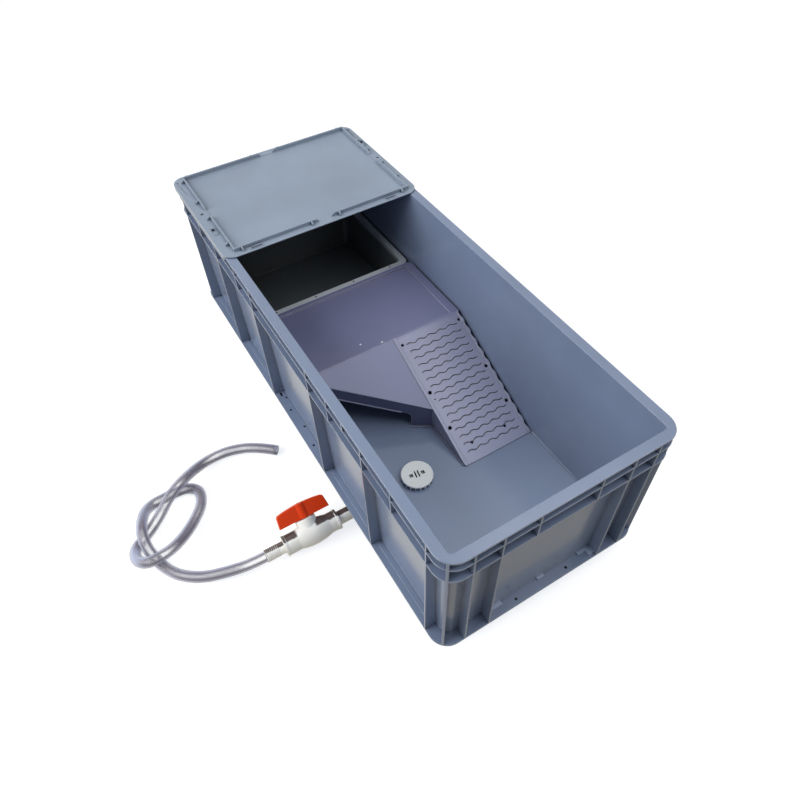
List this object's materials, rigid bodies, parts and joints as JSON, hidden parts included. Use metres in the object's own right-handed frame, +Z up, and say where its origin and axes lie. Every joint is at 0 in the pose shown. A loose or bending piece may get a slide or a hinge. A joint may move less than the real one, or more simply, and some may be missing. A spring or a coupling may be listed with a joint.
{
  "type": "plastic turtle tank",
  "caption": "Long open plastic tank for a turtle, with a part lid over a nest box, a basking platform with a grooved ramp and cave, a floor strainer and a drain valve with a clear hose.",
  "frame": {"origin": "on the floor under the middle of the tank, at the underside of the middle bearer's pad", "axes": "+X along the tank towards its open deep end, +Y across the tank away from the drain valve, +Z up"},
  "size_m": [1.0026, 0.7656, 0.3351],
  "materials": {
    "tank": "semi-gloss blue-grey moulded polypropylene",
    "lid": "semi-gloss lighter blue-grey moulded polypropylene",
    "nest_box": "satin grey moulded plastic",
    "platform": "fine-grained matt purple-grey moulded plastic",
    "strainer": "satin off-white plastic",
    "hose": "clear soft vinyl tube",
    "rubber": "black rubber",
    "drain_fitting": "off-white plastic",
    "valve_white": "gloss cream-white plastic",
    "seat": "white low-friction plastic",
    "handle": "semi-gloss orange-red plastic",
    "screw": "plain steel",
    "riser": "matt dark grey plastic"
  },
  "bodies": {
    "tank": {"tank_shell": "tank", "riser_rear": "riser", "riser_middle": "riser", "riser_front": "riser", "riser_end_caps": "riser", "riser_pads": "rubber", "drain_gasket_lower": "rubber", "drain_gasket_upper": "rubber", "drain_ring": "drain_fitting", "drain_cup": "drain_fitting", "drain_pipe": "valve_white", "valve_body": "valve_white", "valve_end_plug": "valve_white", "valve_seat_tank_side": "seat", "valve_seat_hose_side": "seat", "hose_tail": "valve_white", "drain_hose": "hose"},
    "lid": {"lid": "lid"},
    "nest_box": {"nest_box": "nest_box"},
    "platform": {"basking_platform": "platform"},
    "strainer": {"strainer_cap": "strainer"},
    "valve_key": {"valve_handle": "handle", "handle_screw": "screw", "valve_stem": "valve_white", "stem_o_rings": "rubber", "valve_ball": "valve_white"}
  },
  "joints": [
    {"name": "lid_lift", "type": "slide", "parent": "tank", "child": "lid", "axis": [0, 0, 1], "range_m": [0, 0.25]},
    {"name": "nest_box_lift", "type": "slide", "parent": "tank", "child": "nest_box", "axis": [0, 0, 1], "range_m": [0, 0.15]},
    {"name": "platform_lift", "type": "slide", "parent": "tank", "child": "platform", "axis": [0, 0, 1], "range_m": [0, 0.25]},
    {"name": "strainer_lift", "type": "slide", "parent": "tank", "child": "strainer", "axis": [0, 0, 1], "range_m": [0, 0.06]},
    {"name": "valve_turn", "type": "hinge", "parent": "tank", "child": "valve_key", "pos_m": [0.199, -0.2725, 0.025], "axis": [-0.788, 0, 0.6157], "range_deg": [0, 90]}
  ]
}
